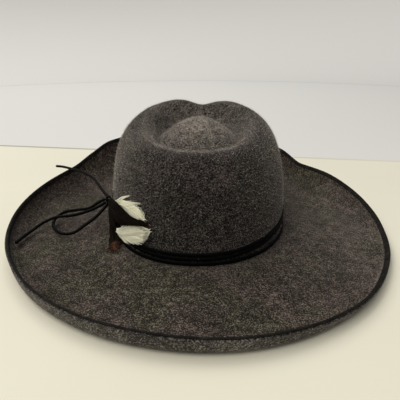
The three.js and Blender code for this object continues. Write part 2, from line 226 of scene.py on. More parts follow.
def round_table(columns, table, column, azimuth):
    """A smooth value between the rows of a table that runs round the hat."""
    place = columns.index(column)
    count = len(table)

    def row(i):
        turns = i // count
        entry = table[i - turns * count]
        return entry[0] + 360 * turns, entry[place]

    def rise(a, b):
        return (b[1] - a[1]) / (b[0] - a[0])

    def slope(one, two):
        return 2 * one * two / (one + two) if one * two > 0 else 0.0

    angle = azimuth % 360
    k = -1
    while row(k + 1)[0] <= angle:
        k += 1
    before, start, end, after = row(k - 1), row(k), row(k + 1), row(k + 2)
    span = end[0] - start[0]
    here = rise(start, end)
    slope_start = slope(rise(before, start), here) * span
    slope_end = slope(here, rise(end, after)) * span
    t = (angle - start[0]) / span
    value = (2 * t**3 - 3 * t**2 + 1) * start[1] + (t**3 - 2 * t**2 + t) * slope_start
    return value + (3 * t**2 - 2 * t**3) * end[1] + (t**3 - t**2) * slope_end


def spot(azimuth, radius, height):
    angle = math.radians(azimuth)
    return Vector((radius * math.cos(angle), radius * math.sin(angle), height))


def along(points, t):
    """A place on the smooth line through the points, which may have any number of values each."""
    count = len(points) - 1
    k = min(int(t * count), count - 1)
    s = t * count - k
    before, start, end, after = (points[min(max(i, 0), count)] for i in (k - 1, k, k + 1, k + 2))
    place = []
    for p, q, r, w in zip(before, start, end, after):
        value = 2 * q + (r - p) * s + (2 * p - 5 * q + 4 * r - w) * s**2
        place.append(0.5 * (value + (3 * q - p - 3 * r + w) * s**3))
    return place


def smooth_line(points, steps):
    return [Vector(along(points, i / steps)) for i in range(steps + 1)]


def line_length(line):
    return sum((b - a).length for a, b in zip(line, line[1:]))


# --- the crown's and the brim's section ---
def oval(half_width, half_length, power, azimuth):
    across = abs(math.cos(math.radians(azimuth))) / half_width
    forward = abs(math.sin(math.radians(azimuth))) / half_length
    return (across**power + forward**power) ** (-1 / power)


def foot_radius(azimuth):
    return oval(CROWN["half_width"], CROWN["half_length"], CROWN["power"], azimuth)


def swell(azimuth, middle, spread):
    """1 at the middle azimuth, and less and less on both sides of it."""
    away = (azimuth - middle + 180) % 360 - 180
    return math.exp(-((away / spread) ** 2))


def dent(azimuth):
    return swell(azimuth, DENT["azimuth"], DENT["spread"])


def crest(azimuth):
    ring = oval(CREST["half_width"], CREST["half_length"], CREST["power"], azimuth)
    radius = ring - DENT["push"] * dent(azimuth)
    lift = CREST["tilt"] * radius * math.sin(math.radians(azimuth))
    return radius, CREST["height"] + lift - DENT["drop"] * dent(azimuth)


def crown_top(azimuth, part):
    radius = crest(azimuth)[0] * part
    x = radius * math.cos(math.radians(azimuth))
    y = radius * math.sin(math.radians(azimuth))
    sunk = DENT["drop"] * dent(azimuth) * ease((part - DENT["inner"]) / (1 - DENT["inner"]))
    floor = CREST["height"] + CREST["tilt"] * y - sunk - TROUGH["depth"]
    t = clamp((part - TROUGH["start"]) / (1 - TROUGH["start"]))
    square, cube, fourth = TROUGH["rise"]
    wall = TROUGH["depth"] * (square * t**2 + cube * t**3 + fourth * t**4)
    v = (y - DOME["y"]) / DOME["half_length"]
    u = x / (DOME["half_width"] * (1 - DOME["narrow"] * v))
    bump = max(DOME["rise"] * (1 - math.hypot(u, v) ** DOME["power"]), VALLEY["lowest"])
    blend = clamp(0.5 + (wall - bump) / VALLEY["width"])
    return radius, floor + lerp(bump, wall, blend) + VALLEY["lift"] * blend * (1 - blend)


def crown_side(azimuth, part):
    radius, height = crest(azimuth)
    turn = part * math.pi / 2
    out = math.sin(turn) ** (2 / CROWN["side_power"])
    up = max(math.cos(turn), 0) ** (2 / CROWN["side_power"])
    return lerp(radius, foot_radius(azimuth), out), lerp(BREAK_HEIGHT + BREAK_RADIUS, height, up)


def side_radius(azimuth, height):
    radius, top = crest(azimuth)
    foot = BREAK_HEIGHT + BREAK_RADIUS
    up = clamp((height - foot) / (top - foot))
    out = (1 - up ** CROWN["side_power"]) ** (1 / CROWN["side_power"])
    return lerp(radius, foot_radius(azimuth), out)


def break_round(azimuth, part):
    turn = part * math.pi / 2
    radius = foot_radius(azimuth) + BREAK_RADIUS * (1 - math.cos(turn))
    return radius, BREAK_HEIGHT + BREAK_RADIUS * (1 - math.sin(turn))


brim_frames = {}


def brim_frame(azimuth):
    """Flat zone's height, and the corner points that the brim's section is drawn through."""
    key = round(azimuth % 360, 4)
    if key not in brim_frames:
        reach, edge, lean, roll, foot = (
            round_table(BRIM_COLUMNS, BRIM_TABLE, column, azimuth) for column in BRIM_COLUMNS[1:]
        )
        rim = Vector((reach, edge))
        corner = Vector((reach - lean, foot))
        lip = (rim - corner).length
        turn_start = Vector((corner.x - roll, foot))
        turn_end = corner.lerp(rim, clamp(roll, LEAST_ROLL, lip - STRAIGHT_LIP) / lip)
        brim_frames[key] = foot, rim, corner, turn_start, turn_end
    return brim_frames[key]


def brim_slope(azimuth, part):
    foot, _, _, turn_start, _ = brim_frame(azimuth)
    inner = foot_radius(azimuth) + BREAK_RADIUS
    return lerp(inner, turn_start.x - REST_WIDTH, part), lerp(BREAK_HEIGHT, foot, ease(part))


def brim_flat(azimuth, part):
    foot, _, _, turn_start, _ = brim_frame(azimuth)
    return lerp(turn_start.x - REST_WIDTH, turn_start.x, part), foot


def brim_turn(azimuth, part):
    _, _, corner, turn_start, turn_end = brim_frame(azimuth)
    point = turn_start * (1 - part) ** 2 + corner * (2 * part * (1 - part)) + turn_end * part**2
    return point.x, point.y


def brim_lip(azimuth, part):
    _, rim, _, _, turn_end = brim_frame(azimuth)
    point = turn_end.lerp(rim, part)
    return point.x, point.y


# The felt's section from the crown's top to the brim's edge, with each part's rows of points
FELT_ROWS = [
    (crown_top, 36),
    (crown_side, 34),
    (break_round, 3),
    (brim_slope, 22),
    (brim_flat, 3),
    (brim_turn, 14),
    (brim_lip, 6),
]
FELT_COLUMNS = 280


# --- making pieces ---
def sheet(columns, rows, place):
    """A grid whose points are put in place by how far along and across they are, from 0 to 1."""
    made = bmesh.new()
    made.loops.layers.uv.new("UVMap")
    bmesh.ops.create_grid(made, x_segments=columns, y_segments=rows, size=0.5, calc_uvs=True)
    for point in made.verts:
        point.co = place(point.co.x + 0.5, point.co.y + 0.5)
    return made


def closed(made, dist=MERGE, up=False):
    """Points that meet become one, and the faces point outwards, or upwards on an open sheet."""
    bmesh.ops.remove_doubles(made, verts=made.verts, dist=dist)
    bmesh.ops.dissolve_degenerate(made, edges=made.edges, dist=dist / 4)
    bmesh.ops.recalc_face_normals(made, faces=made.faces)
    if up and sum(face.normal.z * face.calc_area() for face in made.faces) < 0:
        bmesh.ops.reverse_faces(made, faces=made.faces)
    return made


def linked(thing):
    bpy.context.scene.collection.objects.link(thing)
    return thing


def smooth_object(name, made, look):
    """An object from a bmesh, which is used up."""
    for face in made.faces:
        face.smooth = True
    mesh = bpy.data.meshes.new(name)
    made.to_mesh(mesh)
    made.free()
    mesh.materials.append(look)
    return linked(bpy.data.objects.new(name, mesh))


def piece(name, made, look):
    """A finished piece from a bmesh in millimetres."""
    bmesh.ops.scale(made, verts=made.verts, vec=(MM, MM, MM))
    thing = smooth_object(name, made, look)
    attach(thing, "root")
    return thing


def settle(thing):
    """The piece's modifiers become its mesh."""
    graph = bpy.context.evaluated_depsgraph_get()
    mesh = bpy.data.meshes.new_from_object(thing.evaluated_get(graph), depsgraph=graph)
    old = thing.data
    thing.modifiers.clear()
    thing.data = mesh
    bpy.data.meshes.remove(old)
    mesh.name = thing.name
    return thing


def thickened(thing, thickness, offset=0.0):
    """A sheet with its wall: half on each side, or all on the inner side for an offset of -1."""
    wall = thing.modifiers.new("thickness", "SOLIDIFY")
    wall.thickness = thickness * MM
    wall.offset = offset
    return settle(thing)


def join(made, part):
    """Adds a bmesh, which is used up, to another one, and gives back the added points."""
    scrap = bpy.data.meshes.new("part")
    part.to_mesh(scrap)
    part.free()
    before = len(made.verts)
    made.from_mesh(scrap)
    bpy.data.meshes.remove(scrap)
    made.verts.ensure_lookup_table()
    return made.verts[before:]


def tube(points, radius, columns, rows=12, flat=1.0, wave=None):
    """A closed cord along the smooth line through the points, with rounded ends."""
    line = smooth_line(points, columns)
    sides = []
    side = None
    for i in range(columns + 1):
        way = (line[min(i + 1, columns)] - line[max(i - 1, 0)]).normalized()
        if side is None:
            side = way.cross(UP).normalized()
        side = (side - way * side.dot(way)).normalized()
        sides.append((side.copy(), side.cross(way).normalized()))
    total = line_length(line)

    def place(u, v):
        i = round(u * columns)
        far = min(u, 1 - u) * total
        thick = radius * math.sqrt(clamp(1 - (1 - min(far / radius, 1)) ** 2))
        if wave:
            thick *= 1 + wave(u, v)
        one, other = sides[i]
        turn = 2 * math.pi * v
        return line[i] + one * (thick * math.cos(turn)) + other * (thick * flat * math.sin(turn))

    return closed(sheet(columns, rows, place))


# --- materials ---
def set_stops(ramp, stops):
    while len(ramp.elements) > 1:
        ramp.elements.remove(ramp.elements[-1])
    ramp.elements[0].position = stops[0][0]
    ramp.elements[0].color = (*stops[0][1], 1)
    for position, colour in stops[1:]:
        ramp.elements.new(position).color = (*colour, 1)


def add_node(tree, kind, settings=None, sockets=None):
    """A node with its settings, such as a ramp's stops, and its sockets' values or links."""
    made = tree.nodes.new(kind)
    for key, value in (settings or {}).items():
        if key == "stops":
            set_stops(made.color_ramp, value)
        else:
            setattr(made, key, value)
    for key, value in (sockets or {}).items():
        if isinstance(value, bpy.types.NodeSocket):
            tree.links.new(value, made.inputs[key])
        else:
            made.inputs[key].default_value = value
    return made


class Value:
    """One output of a material's nodes. Python's operators on it add Math nodes."""

    def __init__(self, look, socket):
        self.look = look
        self.socket = socket

    def maths(self, operation, first, second=0.0, clamped=False):
        settings = {"operation": operation, "use_clamp": clamped}
        return self.look.node("ShaderNodeMath", settings, {0: first, 1: second})

    def __add__(self, other):
        return self.maths("ADD", self, other)

    __radd__ = __add__

    def __sub__(self, other):
        return self.maths("SUBTRACT", self, other)

    def __rsub__(self, other):
        return self.maths("SUBTRACT", other, self)

    def __mul__(self, other):
        return self.maths("MULTIPLY", self, other)

    __rmul__ = __mul__

    def most(self, other):
        return self.maths("MAXIMUM", self, other)

    def limited(self):
        return self.maths("ADD", self, 0.0, clamped=True)

    def sine(self):
        return self.maths("SINE", self)


class Look:
    """A material, built up node by node."""

    def __init__(self, name):
        self.material = bpy.data.materials.new(name)
        self.material.use_nodes = True
        self.tree = self.material.node_tree
        self.tree.nodes.clear()
        self.objects = self.node("ShaderNodeTexCoord", output="Object")

    def node(self, kind, settings=None, sockets=None, output=0):
        plain = {key: value.socket if isinstance(value, Value) else value
                 for key, value in (sockets or {}).items()}
        return Value(self, add_node(self.tree, kind, settings, plain).outputs[output])

    def ramp(self, value, stops):
        return self.node("ShaderNodeValToRGB", {"stops": stops}, {0: value})

    def step(self, value, low, high):
        """From 0 to 1 as the value goes from low to high, smoothly."""
        settings = {"interpolation_type": "SMOOTHSTEP"}
        return self.node("ShaderNodeMapRange", settings, {0: value, 1: low, 2: high, 3: 0.0, 4: 1.0})

    def noise(self, place, scale, detail=2.0, roughness=0.5, distortion=0.0):
        sockets = {"Vector": place, "Scale": scale, "Detail": detail, "Roughness": roughness,
                   "Distortion": distortion}
        return self.node("ShaderNodeTexNoise", None, sockets, "Fac")

    def turned(self, place, turn=(0, 0, 0), scale=(1, 1, 1), shift=(0, 0, 0)):
        sockets = {"Vector": place, "Rotation": turn, "Scale": scale, "Location": shift}
        return self.node("ShaderNodeMapping", None, sockets)

    def mix(self, amount, first, second, blend="MIX"):
        settings = {"data_type": "RGBA", "blend_type": blend}
        colours = [(*c, 1) if isinstance(c, tuple) else c for c in (first, second)]
        return self.node("ShaderNodeMix", settings, {0: amount, 6: colours[0], 7: colours[1]}, 2)

    def attribute(self, name):
        return self.node("ShaderNodeAttribute", {"attribute_name": name}, None, "Fac")

    def own_map(self):
        return self.node("ShaderNodeUVMap", {"uv_map": "UVMap"})

    def x_and_y(self, place):
        parts = self.node("ShaderNodeSeparateXYZ", None, {0: place}).socket.node
        return Value(self, parts.outputs[0]), Value(self, parts.outputs[1])

    def bump(self, height, strength, distance):
        sockets = {"Height": height, "Strength": strength, "Distance": distance}
        return self.node("ShaderNodeBump", None, sockets)

    def finish(self, **sockets):
        """Ends the material with a shader whose sockets are named in lower case."""
        values = {key.replace("_", " ").title().replace("Ior", "IOR"): value
                  for key, value in sockets.items()}
        shader = self.node("ShaderNodeBsdfPrincipled", None, values)
        out = self.tree.nodes.new("ShaderNodeOutputMaterial")
        self.tree.links.new(shader.socket, out.inputs["Surface"])
        return self.material


# The wool's pattern: how fine each part of it is, in noise per metre
WOOL = {"flecks": 780, "specks": 1300, "hairs": (240, 1200, 1200), "clouds": 190, "patches": 38,
        "casts": 19}
HAIR_TURNS = ((0.3, 0.2, 0.5), (1.2, 0.7, 2.1), (0.8, 2.2, 3.4), (2.4, 1.5, 0.9))
CROWN_TONES = [
    (0.18, (0.0045, 0.0042, 0.0041)),
    (0.42, (0.0098, 0.009, 0.0086)),
    (0.62, (0.0305, 0.0268, 0.0245)),
    (0.88, (0.122, 0.105, 0.092)),
]
BRIM_TONES = [
    (0.2, (0.0068, 0.0057, 0.0043)),
    (0.42, (0.0185, 0.0155, 0.012)),
    (0.6, (0.054, 0.0455, 0.036)),
    (0.86, (0.19, 0.165, 0.133)),
]
# lighter tones of the brim's underside near the rim: painted bounce light from the table
UNDERSIDE_LIT_TONES = [
    (0.2, (0.017, 0.0145, 0.0125)),
    (0.42, (0.042, 0.0375, 0.033)),
    (0.6, (0.098, 0.089, 0.079)),
    (0.9, (0.25, 0.23, 0.205)),
]
CROWN_CASTS = ((0.98, 1.01, 0.98), (1.02, 0.95, 1.0))  # a greenish and a reddish one
BRIM_CASTS = ((0.97, 1.02, 0.92), (1.03, 0.93, 1.0))
# painted shade inside the far part of the lip, multiplied on the brim near its edge
FAR_LIP_SHADE = (0.8, 0.77, 0.76)
# colour of the painted highlights, where light catches the wool
HIGHLIGHT_TONE = (0.32, 0.28, 0.235)


def heather(look):
    """Mixed dark and light wool: flecks, and short hairs lying every way. About 0.5 on average."""
    flecks = look.noise(look.objects, WOOL["flecks"], 2.0, 0.6)
    specks = look.noise(look.turned(look.objects, shift=(0.3, 0.7, 0.1)), WOOL["specks"], 1.0)
    hairs = None
    for turn in HAIR_TURNS:
        strand = look.noise(look.turned(look.objects, turn, WOOL["hairs"]), 1.0, 1.0, 0.4, 0.4)
        hairs = strand if hairs is None else hairs.most(strand)
    return (flecks - 0.5) * 1.6 + (specks - 0.5) + (hairs - 0.62) * 0.7 + 0.5


def felt_material():
    """Heathered wool, by the felt's marks: the brim's tones, a lighter underside that is painted
    bounce light, painted shade inside the far lip, and painted highlights.
    """
    look = Look("heathered_wool_felt")
    wool = heather(look)
    patches = look.noise(look.objects, WOOL["patches"], 3.0, 0.55)
    clouds = look.noise(look.turned(look.objects, shift=(0.2, 0.1, 0.4)), WOOL["clouds"], 2.0)
    tone = wool + (patches - 0.5) * 0.36 + (clouds - 0.5) * 0.52
    cast = look.step(look.noise(look.objects, WOOL["casts"], 2.0), 0.38, 0.62)
    crown = look.mix(1.0, look.ramp(tone, CROWN_TONES), look.mix(cast, *CROWN_CASTS), "MULTIPLY")
    brim = look.mix(1.0, look.ramp(tone, BRIM_TONES), look.mix(cast, *BRIM_CASTS), "MULTIPLY")
    # painted shade inside the far lip, near the rim
    brim = look.mix(look.attribute("edge"), brim, FAR_LIP_SHADE, "MULTIPLY")
    colour = look.mix(look.attribute("brim"), crown, brim)
    # lighter underside near the rim: painted bounce light
    colour = look.mix(look.attribute("under"), colour, look.ramp(tone, UNDERSIDE_LIT_TONES))
    # painted highlights: lighter wool where the light catches it
    highlight_share = look.attribute("rub") * look.step(tone, 0.3, 0.75)
    colour = look.mix((highlight_share * 0.8).limited(), colour, HIGHLIGHT_TONE)
    nap = look.bump(wool, 0.35, 0.0005)
    return look.finish(base_color=colour, roughness=0.95, normal=nap, specular_ior_level=0.05,
                       sheen_weight=0.22, sheen_roughness=0.5, sheen_tint=(0.62, 0.58, 0.52, 1))


def fibre_material(name, colour, darkest=0.26, lightest=1.75):
    """Fibres of one colour, darker and lighter from one to the next."""
    look = Look(name)
    change = look.step(look.noise(look.objects, 420, 2.0), 0.34, 0.66)
    dark, light = (tuple(min(share * c, 1) for c in colour) for share in (darkest, lightest))
    return look.finish(base_color=look.mix(change, dark, light), roughness=0.8,
                       specular_ior_level=0.3)


RIBBON_RIBS = 1300  # round the brim
RIBBON_TONES = [(0.3, (0.0045, 0.004, 0.0033)), (0.55, (0.0105, 0.0092, 0.0074)),
                (0.8, (0.034, 0.03, 0.024))]
LACE_TONES = [(0.3, (0.0007, 0.0006, 0.0007)), (0.6, (0.0017, 0.0016, 0.0016)),
              (0.85, (0.007, 0.0065, 0.0065))]


def ribbon_material():
    look = Look("binding_ribbon")
    round_brim, _ = look.x_and_y(look.own_map())
    ribs = (round_brim * (2 * math.pi * RIBBON_RIBS)).sine()
    wear = look.noise(look.objects, 140, 4.0, 0.6)
    colour = look.ramp(wear + ribs * 0.05, RIBBON_TONES)
    bump = look.bump(ribs * 0.5 + wear, 0.6, 0.0003)
    return look.finish(base_color=colour, roughness=0.8, normal=bump, specular_ior_level=0.12)


def lace_material():
    look = Look("black_lace")
    grain = look.noise(look.objects, 900, 4.0, 0.6)
    wide = look.noise(look.objects, 90, 2.0)
    colour = look.ramp(grain * 0.6 + wide * 0.4, LACE_TONES)
    return look.finish(base_color=colour, roughness=0.45 + grain * 0.25,
                       normal=look.bump(grain, 0.5, 0.0003), specular_ior_level=0.08)


def feather_material(name, stops, tip=None, gloss=0.3):
    """Barbs by their own tone. tip gives from where to where along the feather the colour of its
    tip comes in, and that colour."""
    look = Look(name)
    fine = look.noise(look.turned(look.own_map(), scale=(160, 3, 1)), 1.0, 2.0)
    colour = look.ramp(look.attribute("tone") * 0.8 + fine * 0.2, stops)
    if tip:
        colour = look.mix(look.step(look.attribute("tip"), *tip[0]), colour, tip[1])
    return look.finish(base_color=colour, roughness=0.62, specular_ior_level=gloss)


felt_look = felt_material()
ribbon_look = ribbon_material()
lace_look = lace_material()
thread_look = fibre_material("binding_thread", (0.03, 0.027, 0.02))

# --- camera ---
CAMERA = {"x": 1.8, "y": -396.8, "z": 186.7, "down": 21.9, "lens": 36.09}
camera_data = bpy.data.cameras.new("photo_view")
camera_data.sensor_width = 36
camera_data.lens = CAMERA["lens"]
camera_data.clip_start = 0.01
camera_data.clip_end = 30
camera = linked(bpy.data.objects.new("photo_view", camera_data))
camera.location = [CAMERA[axis] * MM for axis in "xyz"]
camera.rotation_euler = (math.radians(90 - CAMERA["down"]), 0, 0)
bpy.context.scene.camera = camera
bpy.context.scene.view_settings.view_transform = "Standard"


# --- free laces, each a cord of its own ---
def free_lace(name, node, points):
    def wave(u, v):
        return 0.05 * noise.noise(Vector((u * 60, v * 3, len(node))))

    cord = tube(points, LACE["diameter"] / 2, columns=150, rows=14, wave=wave)
    made = piece(name, cord, lace_look)
    line = smooth_line(points, 240)
    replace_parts(made, node)


free_lace("upper_tail", "lace_tail_upper", TAIL_UPPER)
free_lace("lower_tail", "lace_tail_lower", TAIL_LOWER)
free_lace("loop_of_the_bow", "bow_loop", LOOP)

# --- felt body ---
felt_steps = [(crown_top, 0.0)]
for section, steps in FELT_ROWS:
    felt_steps += [(section, step / steps) for step in range(1, steps + 1)]

# How far the felt is from even, and from which height on the crown's side is
UNEVEN = {"most": 0.9, "crown_from": 40, "crown_over": 25, "brim": 0.8}


def unevenness(where, height, section, t):
    """Soft unevenness of a blocked felt, in millimetres, none where trim sits."""
    if section in (crown_top, crown_side):
        share = ease((height - UNEVEN["crown_from"]) / UNEVEN["crown_over"])
    elif section is brim_slope:
        share = UNEVEN["brim"] * ease(t * 5 - 1) * ease((1 - t) * 4)
    else:
        return 0.0
    wander = noise.noise(where * 0.028) + 0.45 * noise.noise(where * 0.07 + Vector((9, 4, 2)))
    return wander * share * UNEVEN["most"]


def felt_point(u, v):
    section, t = felt_steps[round(v * (len(felt_steps) - 1))]
    radius, height = section(360 * u, t)
    where = spot(360 * u, radius, height)
    lift = unevenness(where, height, section, t)
    if section is crown_side:
        outwards = Vector((where.x, where.y, 0)).normalized()
        return where + outwards * (lift * t) + UP * (lift * (1 - t))
    return where + UP * lift


# Where the felt's marks start, and over what distance they grow; the underside mark paints bounce
# light and the edge mark paints shade
UNDERSIDE_LIGHT_MARK = {"from_rim": 26, "over": 20}
EDGE_SHADE_MARK = {"from_rim": 16, "over": 12}
BRIM_MARK = {"from_foot": -1, "over": 8}
FAR_HALF = {"from": -0.55, "over": 0.8}
INSIDE_FROM = 75  # the height at which the crown's inside starts

# Painted highlights, where light catches the wool: how much, and where or how wide
RIDGE_HIGHLIGHT = {"width": 2, "all_round": 0.35, "near": 0.75}
INSIDE_HIGHLIGHT = {"trough": 0.5, "dome": 0.2, "from_ridge": 6, "over": 10}
DOME_HIGHLIGHT = {"edge": 1.1, "over": 0.5, "top": 0.8, "top_width": 0.42}
FAR_FLANK_HIGHLIGHT = {"most": 0.45, "from": -32, "over": 55}
BINDING_HIGHLIGHT = {"most": 0.45, "from_rim": 4.4, "width": 1.3}
BRIM_HIGHLIGHT = {"most": 0.23, "azimuth": 348, "spread": 34, "from_foot": 4}
FLANK_HIGHLIGHT = {"most": 0.28, "azimuth": 208, "spread": 30}


def inside_highlight(place, beyond_ridge):
    """Painted highlight on the dome and in the trough round it, where light catches the wool."""
    across, forward = place.x / DOME["half_width"], (place.y - DOME["y"]) / DOME["half_length"]
    from_top = math.hypot(across, forward)
    far_flank = ease((place.y - FAR_FLANK_HIGHLIGHT["from"]) / FAR_FLANK_HIGHLIGHT["over"])
    on_dome = INSIDE_HIGHLIGHT["dome"] + FAR_FLANK_HIGHLIGHT["most"] * far_flank
    level = INSIDE_HIGHLIGHT["trough"] + on_dome * ease((DOME_HIGHLIGHT["edge"] - from_top) / DOME_HIGHLIGHT["over"])
    level *= 1 + DOME_HIGHLIGHT["top"] * math.exp(-((from_top / DOME_HIGHLIGHT["top_width"]) ** 2))
    return level * ease((INSIDE_HIGHLIGHT["from_ridge"] - beyond_ridge) / INSIDE_HIGHLIGHT["over"])


def marked(made):
    """Marks each point for the felt's material: on the brim, lighter underside (painted bounce light),
    near the brim's far edge (painted shade), and how much painted highlight it gets."""
    layers = made.verts.layers.float
    brim, rub, under, edge = (layers.new(name) for name in ("brim", "rub", "under", "edge"))
    for point in made.verts:
        place = point.co
        azimuth = math.degrees(math.atan2(place.y, place.x))
        radius = place.xy.length
        from_rim = brim_frame(azimuth)[1].x - radius
        from_foot = radius - foot_radius(azimuth)
        ridge, height = crest(azimuth)
        forward = math.sin(math.radians(azimuth))
        far_half = ease((forward - FAR_HALF["from"]) / FAR_HALF["over"])
        inside = place.z > INSIDE_FROM
        # lighter underside near the rim: painted bounce light from the table
        point[under] = ease((UNDERSIDE_LIGHT_MARK["from_rim"] - from_rim) / UNDERSIDE_LIGHT_MARK["over"])
        # darker near the far rim: painted shade on the lip's inner face
        point[edge] = far_half * ease((EDGE_SHADE_MARK["from_rim"] - from_rim) / EDGE_SHADE_MARK["over"])
        on_brim = ease((from_foot - BRIM_MARK["from_foot"]) / BRIM_MARK["over"])
        point[brim] = 0.0 if inside else on_brim

        # painted highlights on the ridge, the dome and trough, beside the binding on the near half, on
        # the brim's right and on the crown's left flank
        from_ridge = math.hypot(radius - ridge, place.z - height) / RIDGE_HIGHLIGHT["width"]
        on_ridge = RIDGE_HIGHLIGHT["all_round"] + RIDGE_HIGHLIGHT["near"] * clamp(-forward)
        from_binding = (from_rim - BINDING_HIGHLIGHT["from_rim"]) / BINDING_HIGHLIGHT["width"]
        side = BRIM_HIGHLIGHT if from_foot > BRIM_HIGHLIGHT["from_foot"] else FLANK_HIGHLIGHT
        point[rub] = max(
            on_ridge * math.exp(-(from_ridge**2)),
            inside_highlight(place, radius - ridge) if inside else 0.0,
            BINDING_HIGHLIGHT["most"] * math.exp(-(from_binding**2)) * (1 - far_half),
            side["most"] * swell(azimuth, side["azimuth"], side["spread"]),
        )
    return made


felt_sheet = marked(closed(sheet(FELT_COLUMNS, len(felt_steps) - 1, felt_point), up=True))


def part_of(made, keep):
    part = made.copy()
    left_out = [face for face in part.faces if not keep(face.calc_center_median())]
    bmesh.ops.delete(part, geom=left_out, context="FACES")
    return part


def on_crown(centre):
    azimuth = math.degrees(math.atan2(centre.y, centre.x))
    return centre.xy.length < foot_radius(azimuth) + 0.5 and centre.z > BREAK_HEIGHT + 2


crown_base = part_of(felt_sheet, on_crown)
brim_base = part_of(felt_sheet, lambda centre: not on_crown(centre))
upper_points = len(felt_sheet.verts)
felt = thickened(piece("felt_crown_and_brim", felt_sheet, felt_look), FELT, -1)
for point in felt.data.vertices:
    point.co.z = max(point.co.z, 0.0)
# only the underside keeps the painted bounce light
for value in felt.data.attributes["under"].data[:upper_points]:
    value.value = 0.0
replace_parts(felt, "felt_body")


# --- fibres that stand out of the felt ---
def fuzz(name, base, look, density, length, thickness, slant, seed):
    """Slim three-sided fibres all over the base, leaning every way."""
    thing = piece(name, base, look)
    group = bpy.data.node_groups.new(name, "GeometryNodeTree")
    for way in ("INPUT", "OUTPUT"):
        group.interface.new_socket("Geometry", in_out=way, socket_type="NodeSocketGeometry")
    start = add_node(group, "NodeGroupInput")
    points = add_node(group, "GeometryNodeDistributePointsOnFaces", None,
                      {"Mesh": start.outputs[0], "Density": density, "Seed": seed})
    lean = add_node(group, "FunctionNodeRandomValue", {"data_type": "FLOAT_VECTOR"},
                    {0: (-slant, -slant, -math.pi), 1: (slant, slant, math.pi), "Seed": seed + 1})
    turn = add_node(group, "FunctionNodeRotateRotation", {"rotation_space": "LOCAL"},
                    {0: points.outputs["Rotation"], 1: lean.outputs[0]})
    size = add_node(group, "FunctionNodeRandomValue", {"data_type": "FLOAT"},
                    {2: 0.35, 3: 1.0, "Seed": seed + 2})
    fibre = add_node(group, "GeometryNodeMeshCone", {"fill_type": "NGON"},
                     {"Vertices": 3, "Side Segments": 1, "Radius Top": 0.0,
                      "Radius Bottom": thickness * MM, "Depth": length * MM})
    spread = add_node(group, "GeometryNodeInstanceOnPoints", None,
                      {"Points": points.outputs["Points"], "Instance": fibre.outputs["Mesh"],
                       "Rotation": turn.outputs[0], "Scale": size.outputs[1]})
    real = add_node(group, "GeometryNodeRealizeInstances", None, {0: spread.outputs[0]})
    painted = add_node(group, "GeometryNodeSetMaterial", None,
                       {"Geometry": real.outputs[0], "Material": look})
    add_node(group, "NodeGroupOutput", None, {0: painted.outputs[0]})
    thing.modifiers.new("fibres", "NODES").node_group = group
    settle(thing)


# What the fibres grow on, their material and its colour, how many there are on a square metre,
# length and thickness in millimetres, greatest lean in radians, and seed
FIBRES = {
    "crown_fuzz": (crown_base, "crown_fibre", (0.36, 0.322, 0.284), 520000, 2.2, 0.08, 0.95, 11),
    "crown_hairs": (crown_base, "crown_hair", (0.54, 0.485, 0.43), 190000, 3.2, 0.06, 0.8, 47),
    "brim_fuzz": (brim_base, "brim_fibre", (0.22, 0.19, 0.15), 330000, 2.0, 0.085, 1.0, 23),
}
for name, (base, fibre_name, colour, *shape) in FIBRES.items():
    fuzz(name, base.copy(), fibre_material(fibre_name, colour), *shape)
crown_base.free()
brim_base.free()


# --- binding of the brim's edge ---
# The ribbon's middle line: how far beyond the felt's edge, and how far above its upper face
RIBBON_PATH = [
    (-3.2, 0.34), (-3.0, 0.6), (-2.2, 0.72), (-1.2, 0.74), (-0.2, 0.74),
    (0.5, 0.5), (0.86, 0.0), (0.95, -0.55), (0.92, -1.0), (0.8, -1.3),
]
RIBBON = 0.55
STITCHES = 290
STITCH = {"size": (1.15, 0.2, 0.2), "beyond": -2.5, "above": 0.9}
# Where each stitch pulls the ribbon in and down, and how far the ribbon's inner edge wanders
PULL = {"from": -1.6, "over": 1.3, "width": 0.22, "down": 0.2, "in": 0.12}
WANDER = {"across": 0.28, "up": 0.06, "fineness": 46}
stitch_pitch = 360 / STITCHES


def edge_frame(azimuth):
    """The felt's edge, the way out along the brim, and the way up from its upper face."""
    _, rim, _, _, turn_end = brim_frame(azimuth)
    way = (rim - turn_end).normalized()
    outwards = spot(azimuth, 1, 0)
    return spot(azimuth, rim.x, rim.y), outwards * way.x + UP * way.y, UP * way.x - outwards * way.y


def ribbon_point(u, v):
    azimuth = 360 * u
    beyond, above = along(RIBBON_PATH, v)
    edge, out, up = edge_frame(azimuth)
    inner = clamp((PULL["from"] - beyond) / PULL["over"]) if above > 0 else 0.0
    from_stitch = (azimuth / stitch_pitch) % 1.0 - 0.5
    pull = math.exp(-((from_stitch / PULL["width"]) ** 2))
    angle = math.radians(azimuth)
    ring = WANDER["fineness"]
    uneven = noise.noise(Vector((math.cos(angle) * ring, math.sin(angle) * ring, v)))
    above -= PULL["down"] * pull * inner
    beyond += (WANDER["across"] * uneven - PULL["in"] * pull) * inner
    return edge + out * beyond + up * (above + WANDER["up"] * uneven)


ribbon = piece("edge_binding", closed(sheet(3 * STITCHES, 16, ribbon_point), 0.004), ribbon_look)
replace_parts(thickened(ribbon, RIBBON), "brim_binding")

stitches = bmesh.new()
for k in range(STITCHES):
    azimuth = (k + 0.5) * stitch_pitch
    edge, out, up = edge_frame(azimuth)
    ahead = spot(azimuth + 90, 1, 0)
    centre = Matrix.Translation(edge + out * STITCH["beyond"] + up * STITCH["above"])
    axes = Matrix((ahead, out, up)).transposed().to_4x4()
    size = Matrix.Diagonal((*STITCH["size"], 1))
    bmesh.ops.create_icosphere(stitches, subdivisions=1, radius=1, matrix=centre @ axes @ size)
piece("binding_stitches", closed(stitches, 0.001), thread_look)


